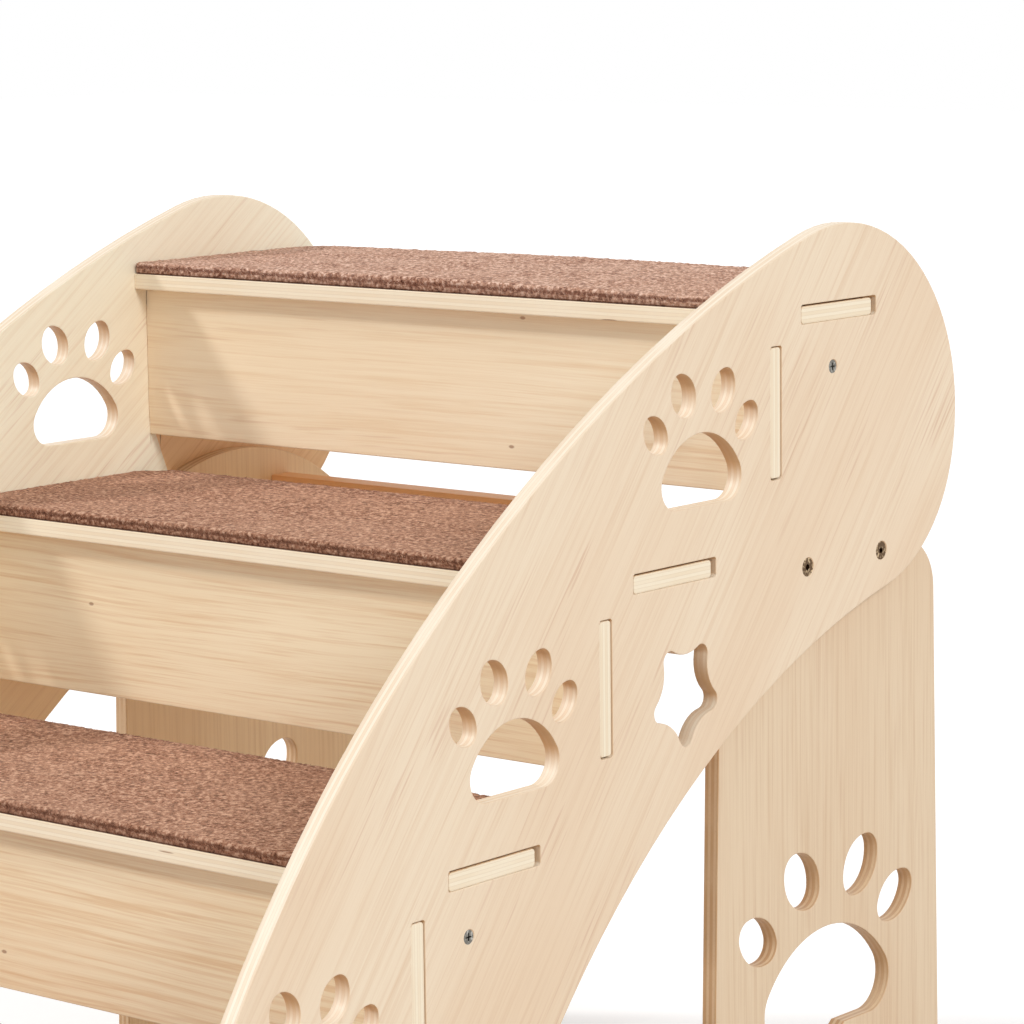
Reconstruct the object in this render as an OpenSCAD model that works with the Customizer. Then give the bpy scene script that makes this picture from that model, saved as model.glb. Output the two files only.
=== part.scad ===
// Pet stairs: four carpeted plywood steps slotted between two arched side panels,
// with a pair of wide legs bolted inside the panels at the back.
// All lengths are millimetres. The climb runs along +Y, and +Z is up.
// The origin is on the floor, under the middle of the whole object.

/* [Steps] */
// Height from one tread to the next
step_rise = 160; // [152:1:168]
// Depth from one tread's front edge to the next one's
step_run = 189; // [184:1:194]
// Clear width between the side panels
clear_w = 576; // [440:2:700]
// Thickness of every plywood board
ply_t = 12; // [10:0.5:13]
// Depth of a tread
tread_depth = 205; // [200:1:210]
// Distance of a riser's face behind its tread's front edge
riser_setback = 12.5; // [8:0.5:16]
// Open gap between a riser and the tread below it
riser_gap = 35; // [28:1:42]
// Gap between a tread's cut rear corner and the leg behind it
tread_leg_gap = 3; // [2:0.5:6]

/* [Carpets] */
// Thickness of a carpet
carpet_t = 7; // [4:0.5:10]
// Gap between a carpet and each side panel
carpet_gap = 0.5; // [0.5:0.5:3]
// Radius of a carpet's front corners
carpet_corner_r = 3; // [2:1:8]

/* [Tenons and slots] */
// Distance of a tread's tenon behind its front edge
tread_tenon_setback = 49; // [44:1:54]
// Length of a tread's tenon
tread_tenon_len = 84.5; // [70:0.5:90]
// Empty length left in the slot behind a tread's tenon
tread_slot_gap = 5; // [3:0.5:8]
// Distance of a riser's tenon below its top edge
riser_tenon_drop = 13; // [9:0.5:16]
// Length of a riser's tenon
riser_tenon_len = 89; // [76:1:92]
// Close play between a tenon and its slot
slot_play = 0.7; // [0.5:0.1:1]
// Wider play above a tread's tenon and below a riser's
slot_room = 1.2; // [0.8:0.1:1.6]
// Radius of a slot's corners
slot_corner_r = 2; // [1:0.5:3]
// How far a tenon's end stays inside the panel's outer face
tenon_short = 0.5; // [0.2:0.1:1]

/* [Side panels] */
// Radius of the arch's upper part
arch_r = 1128; // [1100:2:1150]
// Distance of the arch beyond the top tread's front corner
arch_margin = 27; // [24:0.5:30]
// Steepness of the line from that corner to the upper arc's centre, in degrees
arch_lean = 69.7; // [69.2:0.1:70.4]
// Radius of the arch's lower part
front_r = 852; // [836:2:880]
// Direction from the upper arc's centre in which the lower part takes over, in degrees
front_turn = 131.8; // [130:0.2:134]
// Radius of the rounded head, above
head_r = 142; // [138:0.5:144]
// Distance of the head's centre behind the top tread's front edge
head_back = 99.2; // [97:0.2:102]
// Radius of the rounded head, below
chin_r = 110.8; // [106:0.4:114]
// How far below the level, seen from the head's middle, the chin's curve takes over, in degrees
chin_turn = 17.4; // [12:0.2:22]
// Radius of the hollow arc under the climb
hollow_r = 698; // [680:2:720]
// Length of the panel's foot along the floor
foot_len = 298; // [290:1:306]
// Radius of the corners at the floor
foot_corner_r = 6; // [3:1:10]

/* [Legs] */
// Width of a leg at the floor
leg_foot_w = 282.6; // [276:0.2:288]
// Lean of a leg's side edges, in degrees
leg_lean = 1.4; // [0.6:0.1:2]
// Radius of a leg's crown
leg_crown_r = 178; // [172:1:186]
// Radius of a leg's upper corners
leg_corner_r = 40; // [32:1:46]
// Distance of a leg's crown below the top tread
leg_drop = 145; // [141:1:149]
// Distance of a leg's middle behind the top tread's front edge
leg_back = 101; // [98:0.5:104]

/* [Rails and tie bars] */
// Thickness of the two square rails between the legs
rail_t = 20; // [18:1:24]
// Distance between the two rails' middles
rail_pitch = 90; // [80:1:96]
// Distance of the rails' middles below the top tread
rail_drop = 180; // [176:1:186]
// Thickness of a tie bar
tie_bar_t = 18; // [15:1:22]
// Height of a tie bar
tie_bar_h = 64; // [54:1:74]
// Distance of the upper tie bar's middle behind its tread's front edge
upper_tie_back = 86; // [78:1:94]
// Distance of the lower tie bar's middle behind its tread's front edge
lower_tie_back = 67; // [58:1:76]

/* [Fasteners] */
// Diameter of a leg bolt's shank
bolt_d = 6; // [5:0.5:7]
// Diameter of a leg bolt's head
bolt_head_d = 13; // [12:0.5:14]
// Whole length of a leg bolt
bolt_len = 42; // [40:1:48]
// Width across the flats of a leg bolt's socket
bolt_socket_w = 4; // [3:0.5:5]
// Depth of a leg bolt's socket
bolt_socket_depth = 2.6; // [2:0.2:3]
// Diameter of an insert nut
insert_d = 9; // [8.5:0.5:10]
// Length of an insert nut
insert_len = 13; // [10:1:15]
// Diameter of a tie screw's shank
screw_d = 4.5; // [4:0.5:5]
// Diameter of a tie screw's head
screw_head_d = 9.4; // [8.6:0.2:10]
// Whole length of a tie screw
screw_len = 45; // [40:1:50]
// Length of each arm of a tie screw's cross
screw_cross_l = 2.6; // [2:0.2:3]
// Width of each arm of a tie screw's cross
screw_cross_w = 1.1; // [0.8:0.1:1.4]
// Depth of a tie screw's cross
screw_cross_depth = 1.6; // [1.2:0.2:2]
// Depth of a sunk head below the panel's face
head_sink = 0.5; // [0.2:0.1:0.8]
// Play of a shank in a hole that it passes through
hole_play = 0.4; // [0.2:0.1:0.8]
// Length of a drilled hole beyond the tip of its bolt
hole_room = 3; // [2:0.5:5]

/* [Cut-outs] */
// Distance between the outer toes of a paw in a side panel
panel_paw_w = 100.5; // [96:0.5:104]
// Distance between the outer toes of the paw in a leg
leg_paw_w = 169; // [154:1:174]
// Distance of the leg paw's outer toes below the top tread
leg_paw_drop = 438; // [425:1:450]
// Distance of the leg paw's middle in front of the leg's middle
leg_paw_ahead = 3.5; // [0:0.5:6]
// Distance from the star's middle to its tips
star_r = 36; // [34:0.5:38]
// Radius of the star's rounded tips
star_tip_r = 7; // [6:0.2:8]
// Distance from the star's middle to its hollow sides
star_waist_r = 26; // [24.5:0.5:27]
// Distance of the star's middle behind the front edge of the tread above it
star_back = 104.5; // [98:0.5:110]
// Distance of the star's middle below the top of the tread above it
star_drop = 85.7; // [80:0.1:90]

/* [Hidden] */
$fn = 80;
// Facets of the two long arcs
arc_fn = 720;
// Sides of a hexagon
hex_sides = 6;
// Extra depth of a cut beyond the face that it opens
overrun = 1;
// How far two round outlines that touch are let into each other, so that they cross cleanly
bite = 0.005;

// Tread 1 is the lowest, and these treads have something of their own
step_count = 4;
first_paw_step = 2;
star_step = 3;
lower_tie_step = 2;

panel_colour = "#EFDAC2";
board_colour = "#DDC09A";
leg_colour = "#E2C8AC";
bar_colour = "#C9986A";
carpet_colour = "#B58C76";
bolt_colour = "#5A4A3A";
steel_colour = "#A8A8A8";

// Places of the panel paws, lowest first: shares of the run ahead of a tread's front
// edge, and shares of the rise below its top
paw_ahead_shares = [0.434, 0.394, 0.347];
paw_drop_shares = [0.494, 0.441, 0.442];

// Paws, as shares of the distance between the outer toes' middles.
// A toe is an oval: [across, up, half its length, half its width]
panel_toe_shares = [
    [-0.5, 0, 0.147, 0.112], [-0.197, 0.228, 0.156, 0.127],
    [0.24, 0.226, 0.156, 0.124], [0.5, 0, 0.147, 0.11]
];
leg_toe_shares = [
    [-0.5, 0, 0.138, 0.098], [-0.188, 0.192, 0.143, 0.111],
    [0.24, 0.185, 0.143, 0.111], [0.5, 0, 0.138, 0.098]
];
// Lean of each toe to the left of upright, in degrees
panel_toe_leans = [44, 31, -31, -44];
leg_toe_leans = [62, 45, -45, -62];
// A pad is a dome on a flat base: [top, base, dome's radius, corner radius]
panel_pad_shares = [-0.033, -0.515, 0.48, 0.16];
leg_pad_shares = [-0.033, -0.473, 0.532, 0.142];
// Radius of an oval's ends, as a share of half its width
oval_end_share = 0.74;

// The star's points, the first one straight down
star_points = 5;
star_turn = 360 / star_points;
first_star_angle = -90;

// Plane geometry. In the upright drawings x runs back along the climb and y runs up

function unit(v) = v / norm(v);
function polar(r, angle) = [r * cos(angle), r * sin(angle)];
function right_of(v) = [v.y, -v.x];

// Where two circles meet, on the right-hand side of the line from a to b
function circles_meet(a, ra, b, rb) =
    let (d = norm(b - a), along = (ra * ra - rb * rb + d * d) / (2 * d))
    a + along * unit(b - a) + sqrt(ra * ra - along * along) * right_of(unit(b - a));

// Where the line through a and b crosses the floor
function at_floor(a, b) = a + (b - a) * (a.y / (a.y - b.y));

function step_front(step) = (step - 1) * step_run;
function step_top(step) = step * step_rise;
function step_corner(step) = [step_front(step), step_top(step)];

top_corner = step_corner(step_count);
half_w = clear_w / 2;
face_x = half_w + ply_t;
rail_half_w = half_w - ply_t;

// The arch's lower part touches its upper part from inside, and is a little more curved
arch_c = top_corner + polar(arch_r - arch_margin, -arch_lean);
front_c = arch_c + polar(arch_r - front_r + bite, front_turn);
front_touch = front_c + polar(front_r + overrun, front_turn);

// The head touches the arch from inside, and the hollow arc touches the chin from outside
head_x = top_corner.x + head_back;
head_c = [head_x, arch_c.y + sqrt(pow(arch_r - head_r, 2) - pow(head_x - arch_c.x, 2))];
chin_c = head_c + polar(head_r - chin_r + 2 * bite, -chin_turn);
chin_touch = chin_c + polar(chin_r + overrun, -chin_turn);
head_touch = arch_c + arch_r * unit(head_c - arch_c);
foot_front = front_c.x - sqrt(front_r * front_r - front_c.y * front_c.y);
foot_rear = [foot_front + foot_len, 0];
hollow_c = circles_meet(foot_rear, hollow_r, chin_c, chin_r + hollow_r - bite);

// Rounded corners at the floor, one inside the arch and one outside the hollow arc
front_round_reach = front_r - foot_corner_r + bite;
front_round_dx = sqrt(pow(front_round_reach, 2) - pow(foot_corner_r - front_c.y, 2));
front_round_c = [front_c.x - front_round_dx, foot_corner_r];
rear_round_reach = hollow_r + foot_corner_r - bite;
rear_round_dx = sqrt(pow(rear_round_reach, 2) - pow(foot_corner_r - hollow_c.y, 2));
rear_round_c = [hollow_c.x - rear_round_dx, foot_corner_r];

// A leg, drawn with x from its middle and y from the floor
leg_mid = top_corner.x + leg_back;
leg_h = top_corner.y - leg_drop;
leg_crown_c = [0, leg_h - leg_crown_r];
leg_side = polar(1, leg_lean);
leg_side_offset = leg_foot_w / 2 * cos(leg_lean) - leg_corner_r;
leg_corner_in = leg_side_offset - leg_crown_c * leg_side;
leg_corner_reach = leg_crown_r - leg_corner_r + bite;
leg_corner_up = sqrt(pow(leg_corner_reach, 2) - pow(leg_corner_in, 2));
leg_corner_c = leg_crown_c + leg_corner_in * leg_side - leg_corner_up * right_of(leg_side);
leg_side_touch = leg_corner_c + (leg_corner_r - bite) * leg_side;

// A tread's rear corners are cut off, so that the last tread before the legs clears them
near_leg_step = step_count - 1;
near_leg_up = step_top(near_leg_step) - ply_t - leg_crown_c.y;
leg_front_there = leg_mid - sqrt(leg_crown_r * leg_crown_r - near_leg_up * near_leg_up);
tread_overlap = step_front(near_leg_step) + tread_depth - leg_front_there;
tread_cut = tread_overlap + ply_t + tread_leg_gap;

riser_h = step_rise - ply_t - riser_gap;
tenon_corner_r = slot_corner_r + slot_play;
// How far from the middle a tenon's end lies, so that one bar through the board makes both
tenon_reach = face_x - tenon_short;

rail_z = top_corner.y - rail_drop;
rail_front_y = leg_mid - rail_pitch / 2;
rail_rear_y = leg_mid + rail_pitch / 2;
tie_bar_drop = ply_t + tie_bar_h / 2;
upper_tie = top_corner + [upper_tie_back, -tie_bar_drop];
lower_tie = step_corner(lower_tie_step) + [lower_tie_back, -tie_bar_drop];

bolt_places = [[rail_front_y, rail_z], [rail_rear_y, rail_z]];
screw_places = [lower_tie, upper_tie];
head_x_out = face_x - head_sink;

// The star's hollow sides are circles that touch its rounded tips
star_tip_reach = star_r - star_tip_r;
star_across = star_tip_reach * cos(star_turn / 2);
star_sum = pow(star_tip_reach, 2) + pow(star_waist_r, 2) - pow(star_tip_r, 2);
star_scoop_r = (star_sum - 2 * star_waist_r * star_across)
    / (2 * (star_tip_r - star_waist_r + star_across));

// The origin lies under the middle of the object's own box
front_end = front_round_c.x - foot_corner_r;
rear_end = max(leg_mid + leg_foot_w / 2, head_c.x + head_r);
middle_y = (front_end + rear_end) / 2;

module place() {
    translate([0, -middle_y, 0])
        children();
}

// Stands an upright drawing up as a board whose inner face is at x
module upright(x, t) {
    translate([x, 0, 0])
        rotate([90, 0, 90])
            linear_extrude(t)
                children();
}

module both_sides() {
    children();
    mirror([1, 0, 0])
        children();
}

module disc(c, r) {
    translate(c)
        circle(r);
}

module round_box(x0, x1, y0, y1, r) {
    translate([x0 + r, y0])
        square([x1 - x0 - 2 * r, y1 - y0]);
    translate([x0, y0 + r])
        square([x1 - x0, y1 - y0 - 2 * r]);
    for (x = [x0 + r, x1 - r], y = [y0 + r, y1 - r])
        disc([x, y], r);
}

// An oval of four arcs, upright before it leans
module oval(c, half_l, half_w, lean) {
    end_r = oval_end_share * half_w;
    end_reach = half_l - end_r;
    side_r = (end_reach * end_reach + half_w * half_w - end_r * end_r) / (2 * (half_w - end_r));
    side_reach = side_r - half_w;
    arc_h = 2 * end_reach * side_r / (side_r - end_r);
    translate(c)
        rotate(lean) {
            intersection() {
                disc([side_reach, 0], side_r);
                disc([-side_reach, 0], side_r);
                square([2 * half_w, arc_h], center = true);
            }
            disc([0, end_reach], end_r + bite);
            disc([0, -end_reach], end_r + bite);
        }
}

// A crown arc that runs into two round corners, from the corners' middles upwards
module crown(crown_c, crown_r, corner_c, corner_r) {
    crown_touch = crown_c + crown_r * unit(corner_c - crown_c);
    intersection() {
        disc(crown_c, crown_r);
        polygon([
            crown_c,
            crown_touch,
            [crown_touch.x, crown_c.y + crown_r],
            [-crown_touch.x, crown_c.y + crown_r],
            [-crown_touch.x, crown_touch.y]
        ]);
    }
    disc(corner_c, corner_r);
    disc([-corner_c.x, corner_c.y], corner_r);
}

module pad(top, base, dome_r, corner_r) {
    dome_c = [0, top - dome_r];
    corner_y = base + corner_r;
    corner_x = sqrt(pow(dome_r - corner_r + bite, 2) - pow(corner_y - dome_c.y, 2));
    crown(dome_c, dome_r, [corner_x, corner_y], corner_r);
    translate([-corner_x, base])
        square([2 * corner_x, corner_r]);
}

module paw(w, toe_shares, toe_leans, pad_shares) {
    for (k = [0 : len(toe_shares) - 1]) {
        toe = toe_shares[k] * w;
        oval([toe[0], toe[1]], toe[2], toe[3], toe_leans[k]);
    }
    pad(pad_shares[0] * w, pad_shares[1] * w, pad_shares[2] * w, pad_shares[3] * w);
}

module star() {
    scoop_reach = star_waist_r + star_scoop_r;
    difference() {
        polygon([
            for (k = [0 : star_points - 1])
                let (angle = first_star_angle + k * star_turn)
                each [polar(star_tip_reach, angle), polar(scoop_reach, angle + star_turn / 2)]
        ]);
        for (k = [0 : star_points - 1])
            disc(polar(scoop_reach, first_star_angle + (k + 1 / 2) * star_turn), star_scoop_r);
    }
    for (k = [0 : star_points - 1])
        disc(polar(star_tip_reach, first_star_angle + k * star_turn), star_tip_r + bite);
}

// The round front of the climb, in two arcs
module arch() {
    translate(front_c)
        circle(front_r, $fn = arc_fn);
    intersection() {
        translate(arch_c)
            circle(arch_r, $fn = arc_fn);
        polygon([front_c, front_touch, [front_touch.x, head_touch.y], head_touch, arch_c]);
    }
}

// The rounded head, in two arcs
module head() {
    head_disc_r = head_r + bite;
    reach = head_disc_r + overrun;
    disc(chin_c, chin_r);
    intersection() {
        disc(head_c, head_disc_r);
        polygon([
            [head_c.x - reach, chin_c.y],
            chin_c,
            chin_touch,
            [head_c.x + reach, chin_touch.y],
            head_c + [reach, reach],
            head_c + [-reach, reach]
        ]);
    }
}

module panel_outline() {
    difference() {
        union() {
            intersection() {
                arch();
                polygon([
                    head_touch,
                    [foot_front, head_touch.y],
                    [foot_front, 0],
                    at_floor(chin_c, hollow_c),
                    chin_c
                ]);
            }
            head();
        }
        translate(hollow_c)
            circle(hollow_r, $fn = arc_fn);
        foot_corner_cut(front_round_c, front_round_c - front_c, foot_front - overrun);
        foot_corner_cut(rear_round_c, hollow_c - rear_round_c, foot_rear.x + overrun);
    }
    disc(front_round_c, foot_corner_r);
    disc(rear_round_c, foot_corner_r);
}

// What is taken off a sharp corner at the floor, from its rounding's middle outwards
module foot_corner_cut(c, towards_arc, corner_x) {
    polygon([
        c,
        c + (foot_corner_r + overrun) * unit(towards_arc),
        [corner_x, foot_corner_r],
        [corner_x, -overrun],
        [c.x, -overrun]
    ]);
}

module tread_slot(step) {
    front = step_front(step) + tread_tenon_setback;
    under = step_top(step) - ply_t;
    round_box(
        front - slot_play, front + tread_tenon_len + tread_slot_gap,
        under, step_top(step) + slot_room, slot_corner_r
    );
}

module riser_slot(step) {
    front = step_front(step) + riser_setback;
    tenon_top = step_top(step) - ply_t - riser_tenon_drop;
    round_box(
        front, front + ply_t + slot_play,
        tenon_top - riser_tenon_len - slot_room, tenon_top + slot_play, slot_corner_r
    );
}

// A sunk hole in the right panel, from its outer face inwards
module sunk_hole(place_yz, d, head_d) {
    cone_r = head_d / 2 + head_sink;
    translate([face_x, place_yz.x, place_yz.y])
        rotate([0, -90, 0]) {
            translate([0, 0, -overrun])
                cylinder(h = ply_t + 2 * overrun, d = d + hole_play);
            cylinder(h = cone_r, r1 = cone_r, r2 = 0);
            translate([0, 0, -overrun])
                cylinder(h = overrun, r = cone_r);
        }
}

module side_panel() {
    difference() {
        upright(half_w, ply_t)
            difference() {
                panel_outline();
                for (step = [1 : step_count]) {
                    tread_slot(step);
                    riser_slot(step);
                }
                for (step = [first_paw_step : step_count])
                    translate(step_corner(step) - [
                        paw_ahead_shares[step - first_paw_step] * step_run,
                        paw_drop_shares[step - first_paw_step] * step_rise
                    ])
                        paw(panel_paw_w, panel_toe_shares, panel_toe_leans, panel_pad_shares);
                translate(step_corner(star_step) + [star_back, -star_drop])
                    star();
            }
        for (spot = bolt_places)
            sunk_hole(spot, bolt_d, bolt_head_d);
        for (spot = screw_places)
            sunk_hole(spot, screw_d, screw_head_d);
    }
}

module leg_outline() {
    polygon([
        [-leg_foot_w / 2, 0],
        [leg_foot_w / 2, 0],
        leg_side_touch,
        leg_corner_c,
        [0, leg_corner_c.y],
        [-leg_corner_c.x, leg_corner_c.y],
        [-leg_side_touch.x, leg_side_touch.y]
    ]);
    crown(leg_crown_c, leg_crown_r, leg_corner_c, leg_corner_r);
}

module leg() {
    difference() {
        upright(rail_half_w, ply_t)
            difference() {
                translate([leg_mid, 0])
                    leg_outline();
                translate([leg_mid - leg_paw_ahead, top_corner.y - leg_paw_drop])
                    paw(leg_paw_w, leg_toe_shares, leg_toe_leans, leg_pad_shares);
            }
        for (spot = bolt_places)
            translate([rail_half_w - overrun, spot.x, spot.y])
                rotate([0, 90, 0])
                    cylinder(h = ply_t + 2 * overrun, d = bolt_d + hole_play);
    }
}

module tread(step) {
    translate([0, step_front(step), step_top(step) - ply_t])
        linear_extrude(ply_t)
            board_outline(half_w, tread_cut);
    upright(-tenon_reach, 2 * tenon_reach)
        round_box(
            step_front(step) + tread_tenon_setback,
            step_front(step) + tread_tenon_setback + tread_tenon_len,
            step_top(step) - ply_t, step_top(step), tenon_corner_r
        );
}

// A tread or carpet seen from above, with its rear corners cut off
module board_outline(half_board_w, cut) {
    polygon([
        [-half_board_w, 0],
        [half_board_w, 0],
        [half_board_w, tread_depth - cut],
        [half_board_w - cut, tread_depth],
        [cut - half_board_w, tread_depth],
        [-half_board_w, tread_depth - cut]
    ]);
}

module riser(step) {
    front = step_front(step) + riser_setback;
    top = step_top(step) - ply_t;
    translate([-half_w, front, top - riser_h])
        cube([clear_w, ply_t, riser_h]);
    upright(-tenon_reach, 2 * tenon_reach)
        round_box(
            front, front + ply_t,
            top - riser_tenon_drop - riser_tenon_len, top - riser_tenon_drop, tenon_corner_r
        );
}

module carpet(step) {
    half_carpet_w = half_w - carpet_gap;
    translate([0, step_front(step), step_top(step)])
        linear_extrude(carpet_t) {
            intersection() {
                board_outline(half_carpet_w, tread_cut - carpet_gap);
                polygon([
                    [-half_carpet_w, carpet_corner_r],
                    [carpet_corner_r - half_carpet_w, 0],
                    [half_carpet_w - carpet_corner_r, 0],
                    [half_carpet_w, carpet_corner_r],
                    [half_carpet_w, tread_depth],
                    [-half_carpet_w, tread_depth]
                ]);
            }
            disc([half_carpet_w - carpet_corner_r, carpet_corner_r], carpet_corner_r);
            disc([carpet_corner_r - half_carpet_w, carpet_corner_r], carpet_corner_r);
        }
}

// A square rail between the legs, bored at both ends for its insert nuts
module rail(mid_y) {
    difference() {
        translate([-rail_half_w, mid_y - rail_t / 2, rail_z - rail_t / 2])
            cube([2 * rail_half_w, rail_t, rail_t]);
        both_sides() {
            translate([rail_half_w - insert_len, mid_y, rail_z])
                rotate([0, 90, 0])
                    cylinder(h = insert_len + overrun, d = insert_d);
            translate([head_x_out - bolt_len - hole_room, mid_y, rail_z])
                rotate([0, 90, 0])
                    cylinder(h = bolt_len, d = bolt_d + hole_play);
        }
    }
}

// A solid wood bar from panel to panel under a tread, drilled for its two screws
module tie_bar(mid) {
    difference() {
        translate([-half_w, mid.x - tie_bar_t / 2, mid.y - tie_bar_h / 2])
            cube([clear_w, tie_bar_t, tie_bar_h]);
        both_sides()
            translate([head_x_out - screw_len, mid.x, mid.y])
                rotate([0, 90, 0])
                    cylinder(h = screw_len, d = screw_d);
    }
}

// A sunk head with a shank, from the right panel's face inwards
module sunk_fastener(spot, d, head_d, length) {
    translate([head_x_out, spot.x, spot.y])
        rotate([0, -90, 0])
            difference() {
                union() {
                    cylinder(h = length, d = d);
                    cylinder(h = (head_d - d) / 2, d1 = head_d, d2 = d);
                }
                translate([0, 0, -overrun])
                    children();
            }
}

module leg_bolt(spot) {
    sunk_fastener(spot, bolt_d, bolt_head_d, bolt_len)
        cylinder(
            h = bolt_socket_depth + overrun, d = bolt_socket_w / cos(180 / hex_sides),
            $fn = hex_sides
        );
}

module tie_screw(spot) {
    sunk_fastener(spot, screw_d, screw_head_d, screw_len)
        for (turn = [0, 90])
            rotate([0, 0, turn])
                translate([-screw_cross_l, -screw_cross_w / 2, 0])
                    cube([2 * screw_cross_l, screw_cross_w, screw_cross_depth + overrun]);
}

module insert_nut(spot) {
    translate([rail_half_w - insert_len, spot.x, spot.y])
        rotate([0, 90, 0])
            difference() {
                cylinder(h = insert_len, d = insert_d);
                translate([0, 0, -overrun])
                    cylinder(h = insert_len + 2 * overrun, d = bolt_d);
            }
}

module side_panel_right() {
    color(panel_colour)
        place()
            side_panel();
}

module side_panel_left() {
    color(panel_colour)
        place()
            mirror([1, 0, 0])
                side_panel();
}

module leg_right() {
    color(leg_colour)
        place()
            leg();
}

module leg_left() {
    color(leg_colour)
        place()
            mirror([1, 0, 0])
                leg();
}

module tread_at(step) {
    color(board_colour)
        place()
            tread(step);
}

module riser_at(step) {
    color(board_colour)
        place()
            riser(step);
}

module carpet_at(step) {
    color(carpet_colour)
        place()
            carpet(step);
}

module rail_front() {
    color(bar_colour)
        place()
            rail(rail_front_y);
}

module rail_rear() {
    color(bar_colour)
        place()
            rail(rail_rear_y);
}

module tie_bar_lower() {
    color(bar_colour)
        place()
            tie_bar(lower_tie);
}

module tie_bar_upper() {
    color(bar_colour)
        place()
            tie_bar(upper_tie);
}

module tie_screws() {
    color(steel_colour)
        place()
            both_sides()
                for (spot = screw_places)
                    tie_screw(spot);
}

module leg_bolts() {
    color(bolt_colour)
        place()
            both_sides()
                for (spot = bolt_places)
                    leg_bolt(spot);
}

module insert_nuts() {
    color(steel_colour)
        place()
            both_sides()
                for (spot = bolt_places)
                    insert_nut(spot);
}

side_panel_left();
side_panel_right();
leg_left();
leg_right();
tread_at(1);  // tread_1
tread_at(2);  // tread_2
tread_at(3);  // tread_3
tread_at(4);  // tread_4
riser_at(1);  // riser_1
riser_at(2);  // riser_2
riser_at(3);  // riser_3
riser_at(4);  // riser_4
carpet_at(1);  // carpet_1
carpet_at(2);  // carpet_2
carpet_at(3);  // carpet_3
carpet_at(4);  // carpet_4
rail_front();
rail_rear();
tie_bar_lower();
tie_bar_upper();
tie_screws();
leg_bolts();
insert_nuts();
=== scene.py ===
"""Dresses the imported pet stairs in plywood, carpet and metal, and sets up the light and the camera.

Everything is in metres, in the part's own frame: +Y along the climb, +Z up, the floor at Z = 0.
"""

import math
from typing import NamedTuple

import bpy
import numpy as np
from mathutils import Euler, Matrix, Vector, noise

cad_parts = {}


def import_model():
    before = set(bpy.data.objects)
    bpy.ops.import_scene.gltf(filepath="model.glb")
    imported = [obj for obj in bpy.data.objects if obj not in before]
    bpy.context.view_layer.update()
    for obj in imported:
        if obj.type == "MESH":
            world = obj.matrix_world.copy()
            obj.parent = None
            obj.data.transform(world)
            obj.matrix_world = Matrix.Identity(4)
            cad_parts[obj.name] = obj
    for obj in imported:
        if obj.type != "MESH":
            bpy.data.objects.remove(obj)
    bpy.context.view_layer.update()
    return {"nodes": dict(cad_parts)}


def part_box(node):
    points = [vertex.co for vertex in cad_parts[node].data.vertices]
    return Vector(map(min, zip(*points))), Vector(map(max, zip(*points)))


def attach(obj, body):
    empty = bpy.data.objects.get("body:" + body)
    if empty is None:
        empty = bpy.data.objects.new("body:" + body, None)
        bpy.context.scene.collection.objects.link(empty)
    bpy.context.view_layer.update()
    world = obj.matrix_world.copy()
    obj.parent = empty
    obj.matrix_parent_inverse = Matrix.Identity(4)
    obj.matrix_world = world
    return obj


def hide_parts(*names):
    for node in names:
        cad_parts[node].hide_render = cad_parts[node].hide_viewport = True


MM = 0.001
X_AXIS = (1, 0, 0)
Y_AXIS = (0, 1, 0)
Z_AXIS = (0, 0, 1)

# The photograph's camera, with its angles in degrees
CAMERA_PLACE = (1.8003, -1.8963, 0.8874)
CAMERA_AZIMUTH = 39.393
CAMERA_TILT = -8.42
CAMERA_ROLL = -0.689
CAMERA_LENS = 135.32
CAMERA_REACH = 200
SENSOR_WIDTH = 36.0

# Light: a white dome, two suns with their spread in degrees, and the floor
WHITE = (1, 1, 1, 1)
DOME_STRENGTH = 0.61
KEY_FROM = (-1.22, -0.98, 1.15)
KEY_STRENGTH = 1.3
KEY_SPREAD = 8.0
FILL_FROM = (1.3, -0.42, 0.85)
FILL_STRENGTH = 1.2
FILL_SPREAD = 16.0
FLOOR_HALF = 15.0
FLOOR_WHITE = 0.72
FLOOR_LIFT = 0.4

# Boards
STEPS = (1, 2, 3, 4)
BARS = ("rail_front", "rail_rear", "tie_bar_lower", "tie_bar_upper")
BOARD_NAMES = ("side_panel", "leg_left", "leg_right", "tread", "riser", "rail", "tie_bar")
PLY_T = 12 * MM
PLY_LAYERS = 5
LAYER_WANDER = 0.05
EDGE_ROUND = 0.9 * MM
EDGE_ROUND_CUTS = 2
EDGE_ANGLE = 50
SAME_FACE_ANGLE = 0.5
SAME_PLACE = 0.001 * MM
TREAD_SEED = 11.2
RISER_SEED = 21.4
BAR_SEED = 31.0
FAR_SIDE_SEED = 3.7
TREAD_GAP_SHARE = 0.7

# Wood: where the late wood of a growth ring fades in and out and how high it stands, and the
# plywood's roughness, which follows its height
RING_RISE = (0.35, 0.86)
RING_FALL = (1.0, 0.9)
LATE_WOOD_HEIGHT = -0.6
PLY_ROUGHNESS = 0.42
PLY_ROUGHNESS_BY_HEIGHT = 0.14

# Wood: how many knots, and gaps in cut edges, there are to the metre, and their size as a share
# of the space that each has
KNOTS_ALONG = 3.2
KNOTS_ACROSS = 6.4
KNOT_SEEDS = (3.1, 1.7)
KNOT_SIZE = 0.01
GAPS_LEVEL = (3.6, 1.3, 0.0)
GAPS_UP = 45.0
GAP_SIZE = 0.03

# Wood: the change from one layer to the next at a cut edge, the glue there, and end grain
LAYER_TURN = (0.35, 0.65)
GLUE_RISE = (0.36, 0.5)
GLUE_FALL = (0.64, 0.5)
END_GRAIN_SHARE = 0.3

# Wood: which edges get painted shade, browned by the way they face, where a face ends and an edge
# begins, and how the line of the painted shade under the steps leans in the gaps under the risers, as
# a cast shadow's edge does
SHADE_EDGE_WAY = (0, -0.3, 1)
SHADE_EDGE_TURN = (0.9, -0.3)
FACE_TURN = (0.6, 0.9)
GAP_SHADE_LEAN = 0.4

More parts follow.
